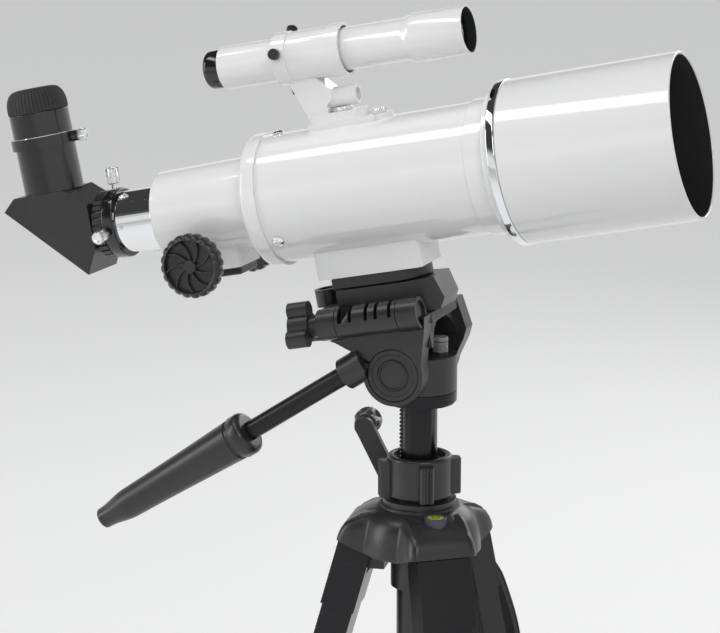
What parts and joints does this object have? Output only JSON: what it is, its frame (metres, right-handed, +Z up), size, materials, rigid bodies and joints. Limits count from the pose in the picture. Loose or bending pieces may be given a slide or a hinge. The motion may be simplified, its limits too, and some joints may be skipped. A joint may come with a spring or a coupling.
{
  "type": "telescope on tripod",
  "caption": "Small refracting telescope with star diagonal and finder, on a folding tripod with a pan and tilt head, crank column and sliding legs.",
  "frame": {"origin": "on the floor, at the centre of the footprint of the whole model's box", "axes": "+X the way the telescope points, +Z up, -Y the side with the pan handle"},
  "size_m": [0.4543, 0.2954, 0.7656],
  "materials": {
    "white_paint": "gloss white enamel",
    "steel_screws": "bright plated screws",
    "chrome": "polished chrome plate",
    "glass": "coated optical glass",
    "mirror": "silvered flat",
    "black_metal": "black anodised, satin",
    "rubber": "matte black rubber",
    "grey_plastic": "light grey moulding",
    "bubble_level": "clear yellow-green vial",
    "gloss_black": "gloss black",
    "finder_fasteners": "knurled black",
    "carry_handle": "satin black band",
    "black_plastic": "satin black moulding"
  },
  "bodies": {
    "base": {"crown": "black_plastic", "bubble_level": "bubble_level"},
    "column": {"centre_column": "black_metal"},
    "lock_ring": {"column_lock_ring": "black_plastic"},
    "crank": {"crank_arm": "black_plastic"},
    "crank_grip": {"crank_knob": "grey_plastic"},
    "pan": {"pan_drum": "black_plastic"},
    "tilt": {"tilt_frame": "black_plastic", "tilt_caps": "black_plastic"},
    "handle": {"handle_rod": "black_metal", "handle_grip": "black_plastic"},
    "platform": {"platform": "black_plastic"},
    "lever": {"release_lever": "black_plastic"},
    "flip_clamp": {"flip_knob": "black_plastic"},
    "telescope": {"quick_plate": "black_plastic", "plate_screw": "steel_screws", "mounting_foot": "white_paint", "main_tube": "white_paint", "focuser_housing": "white_paint", "tube_screws": "steel_screws", "objective_cell": "white_paint", "objective_lens": "glass", "dew_trim_ring": "chrome", "dew_shield": "white_paint", "pinion_cover": "black_plastic", "finder_bracket": "white_paint", "finder_tube": "white_paint", "finder_lens": "glass", "finder_eyepiece": "gloss_black", "finder_screws": "finder_fasteners"},
    "drawtube": {"drawtube": "chrome", "drawtube_adapter": "black_plastic"},
    "top_screw": {"adapter_screw_top": "chrome"},
    "side_screw": {"adapter_screw_side": "chrome"},
    "pinion": {"pinion_shaft": "chrome", "focus_knobs": "black_plastic"},
    "diagonal": {"diagonal_body": "black_plastic", "diagonal_mirror": "mirror", "eyepiece_holder": "gloss_black"},
    "holder_screw": {"eyepiece_thumbscrew": "chrome"},
    "eyepiece": {"eyepiece_body": "gloss_black", "eyepiece_grip": "rubber", "eyepiece_lens": "glass"},
    "hub": {"brace_hub": "black_plastic"},
    "leg_1": {"leg_upper_1": "black_metal"},
    "leg_tip_1": {"leg_lower_1": "black_metal", "leg_foot_1": "rubber"},
    "flap_1": {"leg_lock_1": "black_plastic"},
    "brace_1": {"brace_arm_1": "black_metal"},
    "leg_2": {"leg_upper_2": "black_metal", "carry_handle": "carry_handle"},
    "leg_tip_2": {"leg_lower_2": "black_metal", "leg_foot_2": "rubber"},
    "flap_2": {"leg_lock_2": "black_plastic"},
    "brace_2": {"brace_arm_2": "black_metal"},
    "leg_3": {"leg_upper_3": "black_metal"},
    "leg_tip_3": {"leg_lower_3": "black_metal", "leg_foot_3": "rubber"},
    "flap_3": {"leg_lock_3": "black_plastic"},
    "brace_3": {"brace_arm_3": "black_metal"}
  },
  "joints": [
    {"name": "column_slide", "type": "slide", "parent": "base", "child": "column", "axis": [0, 0, 1], "range_m": [-0.028, 0.2]},
    {"name": "crank_turn", "type": "hinge", "parent": "base", "child": "crank", "pos_m": [0.02956, -0.01422, 0.44118], "axis": [-0.1736, 0.9848, 0], "range_deg": [-1056.64, 148.36]},
    {"name": "crank_knob_spin", "type": "hinge", "parent": "crank", "child": "crank_grip", "pos_m": [-0.00441, 0.04478, 0.48772], "axis": [-0.1736, 0.9848, 0], "continuous": true},
    {"name": "lock_ring_turn", "type": "hinge", "parent": "base", "child": "lock_ring", "pos_m": [0.05171, -0.01032, 0.47358], "axis": [0, 0, 1], "range_deg": [0, 40]},
    {"name": "pan_turn", "type": "hinge", "parent": "column", "child": "pan", "pos_m": [0.05171, -0.01032, 0.53358], "axis": [0, 0, 1], "continuous": true},
    {"name": "tilt_turn", "type": "hinge", "parent": "pan", "child": "tilt", "pos_m": [0.04671, -0.01032, 0.54558], "axis": [0, -1, 0], "range_deg": [-40, 25]},
    {"name": "handle_twist", "type": "hinge", "parent": "tilt", "child": "handle", "pos_m": [0.01516, -0.04332, 0.54326], "axis": [-0.8358, 0, -0.549], "range_deg": [0, 90]},
    {"name": "platform_flip", "type": "hinge", "parent": "tilt", "child": "platform", "pos_m": [0.03966, -0.04632, 0.58089], "axis": [0.9806, 0, 0.1959], "range_deg": [0, 90]},
    {"name": "flip_knob_turn", "type": "hinge", "parent": "platform", "child": "flip_clamp", "pos_m": [-0.00937, -0.04632, 0.57109], "axis": [0.9806, 0, 0.1959], "range_deg": [0, 360]},
    {"name": "release_lever_swing", "type": "hinge", "parent": "platform", "child": "lever", "pos_m": [0.00946, 0.00168, 0.58403], "axis": [0.1959, 0, -0.9806], "range_deg": [0, 50]},
    {"name": "plate_lift", "type": "slide", "parent": "platform", "child": "telescope", "axis": [-0.1959, 0, 0.9806], "range_m": [0, 0.05]},
    {"name": "focus_travel", "type": "slide", "parent": "telescope", "child": "drawtube", "axis": [-0.9806, 0, -0.1959], "range_m": [-0.02, 0.045]},
    {"name": "focus_knob_turn", "type": "hinge", "parent": "telescope", "child": "pinion", "pos_m": [-0.08052, -0.01032, 0.60613], "axis": [0, -1, 0], "range_deg": [-206.18, 331.05]},
    {"name": "top_screw_turn", "type": "hinge", "parent": "drawtube", "child": "top_screw", "pos_m": [-0.15444, -0.01032, 0.64591], "axis": [-0.1959, 0, 0.9806], "range_deg": [0, 720]},
    {"name": "side_screw_turn", "type": "hinge", "parent": "drawtube", "child": "side_screw", "pos_m": [-0.15013, -0.03513, 0.61818], "axis": [0.0239, -0.9925, -0.1195], "range_deg": [0, 720]},
    {"name": "diagonal_turn", "type": "hinge", "parent": "drawtube", "child": "diagonal", "pos_m": [-0.16406, -0.01032, 0.6185], "axis": [0.9806, 0, 0.1959], "range_deg": [-90, 90]},
    {"name": "holder_screw_turn", "type": "hinge", "parent": "diagonal", "child": "holder_screw", "pos_m": [-0.1818, -0.01032, 0.67563], "axis": [0.9806, 0, 0.1959], "range_deg": [0, 720]},
    {"name": "eyepiece_lift", "type": "slide", "parent": "diagonal", "child": "eyepiece", "axis": [-0.1959, 0, 0.9806], "range_m": [0, 0.03]},
    {"name": "leg_1_fold", "type": "hinge", "parent": "base", "child": "leg_1", "pos_m": [0.07545, -0.04126, 0.42358], "axis": [0.7934, 0.6088, 0], "range_deg": [0, 15.7]},
    {"name": "leg_1_extend", "type": "slide", "parent": "leg_1", "child": "leg_tip_1", "axis": [0.1647, -0.2147, -0.9627], "range_m": [0, 0.24]},
    {"name": "leg_1_flap", "type": "hinge", "parent": "leg_1", "child": "flap_1", "pos_m": [0.14423, -0.13088, 0.0845], "axis": [-0.7934, -0.6088, 0], "range_deg": [0, 90]},
    {"name": "brace_1_swing", "type": "hinge", "parent": "leg_1", "child": "brace_1", "pos_m": [0.10397, -0.07841, 0.19784], "axis": [0.7934, 0.6088, 0], "range_deg": [0, 19.03]},
    {"name": "leg_2_fold", "type": "hinge", "parent": "base", "child": "leg_2", "pos_m": [0.06664, 0.02572, 0.42358], "axis": [-0.9239, 0.3827, 0], "range_deg": [0, 15.7]},
    {"name": "leg_2_extend", "type": "slide", "parent": "leg_2", "child": "leg_tip_2", "axis": [0.1036, 0.25, -0.9627], "range_m": [0, 0.24]},
    {"name": "leg_2_flap", "type": "hinge", "parent": "leg_2", "child": "flap_2", "pos_m": [0.10987, 0.13009, 0.0845], "axis": [0.9239, -0.3827, 0], "range_deg": [0, 90]},
    {"name": "brace_2_swing", "type": "hinge", "parent": "leg_2", "child": "brace_2", "pos_m": [0.08456, 0.06899, 0.19784], "axis": [-0.9239, 0.3827, 0], "range_deg": [0, 19.03]},
    {"name": "leg_3_fold", "type": "hinge", "parent": "base", "child": "leg_3", "pos_m": [0.01305, -0.01541, 0.42358], "axis": [0.1305, -0.9914, 0], "range_deg": [0, 15.7]},
    {"name": "leg_3_extend", "type": "slide", "parent": "leg_3", "child": "leg_tip_3", "axis": [-0.2683, -0.0353, -0.9627], "range_m": [0, 0.24]},
    {"name": "leg_3_flap", "type": "hinge", "parent": "leg_3", "child": "flap_3", "pos_m": [-0.09896, -0.03015, 0.0845], "axis": [-0.1305, 0.9914, 0], "range_deg": [0, 90]},
    {"name": "brace_3_swing", "type": "hinge", "parent": "leg_3", "child": "brace_3", "pos_m": [-0.03339, -0.02152, 0.19784], "axis": [0.1305, -0.9914, 0], "range_deg": [0, 19.03]},
    {"name": "brace_hub_slide", "type": "slide", "parent": "base", "child": "hub", "axis": [0, 0, 1], "range_m": [0, 0.0149]}
  ],
  "couplings": [
    {"joint": "crank_turn", "follows": "column_slide", "rad_per_m": -92.166},
    {"joint": "focus_knob_turn", "follows": "focus_travel", "rad_per_m": 128.21},
    {"joint": "brace_1_swing", "follows": "leg_1_fold", "ratio": 1.2111},
    {"joint": "leg_2_fold", "follows": "leg_1_fold", "ratio": 1},
    {"joint": "brace_2_swing", "follows": "leg_1_fold", "ratio": 1.2111},
    {"joint": "leg_3_fold", "follows": "leg_1_fold", "ratio": 1},
    {"joint": "brace_3_swing", "follows": "leg_1_fold", "ratio": 1.2111},
    {"joint": "brace_hub_slide", "follows": "leg_1_fold", "m_per_rad": 0.05365}
  ]
}
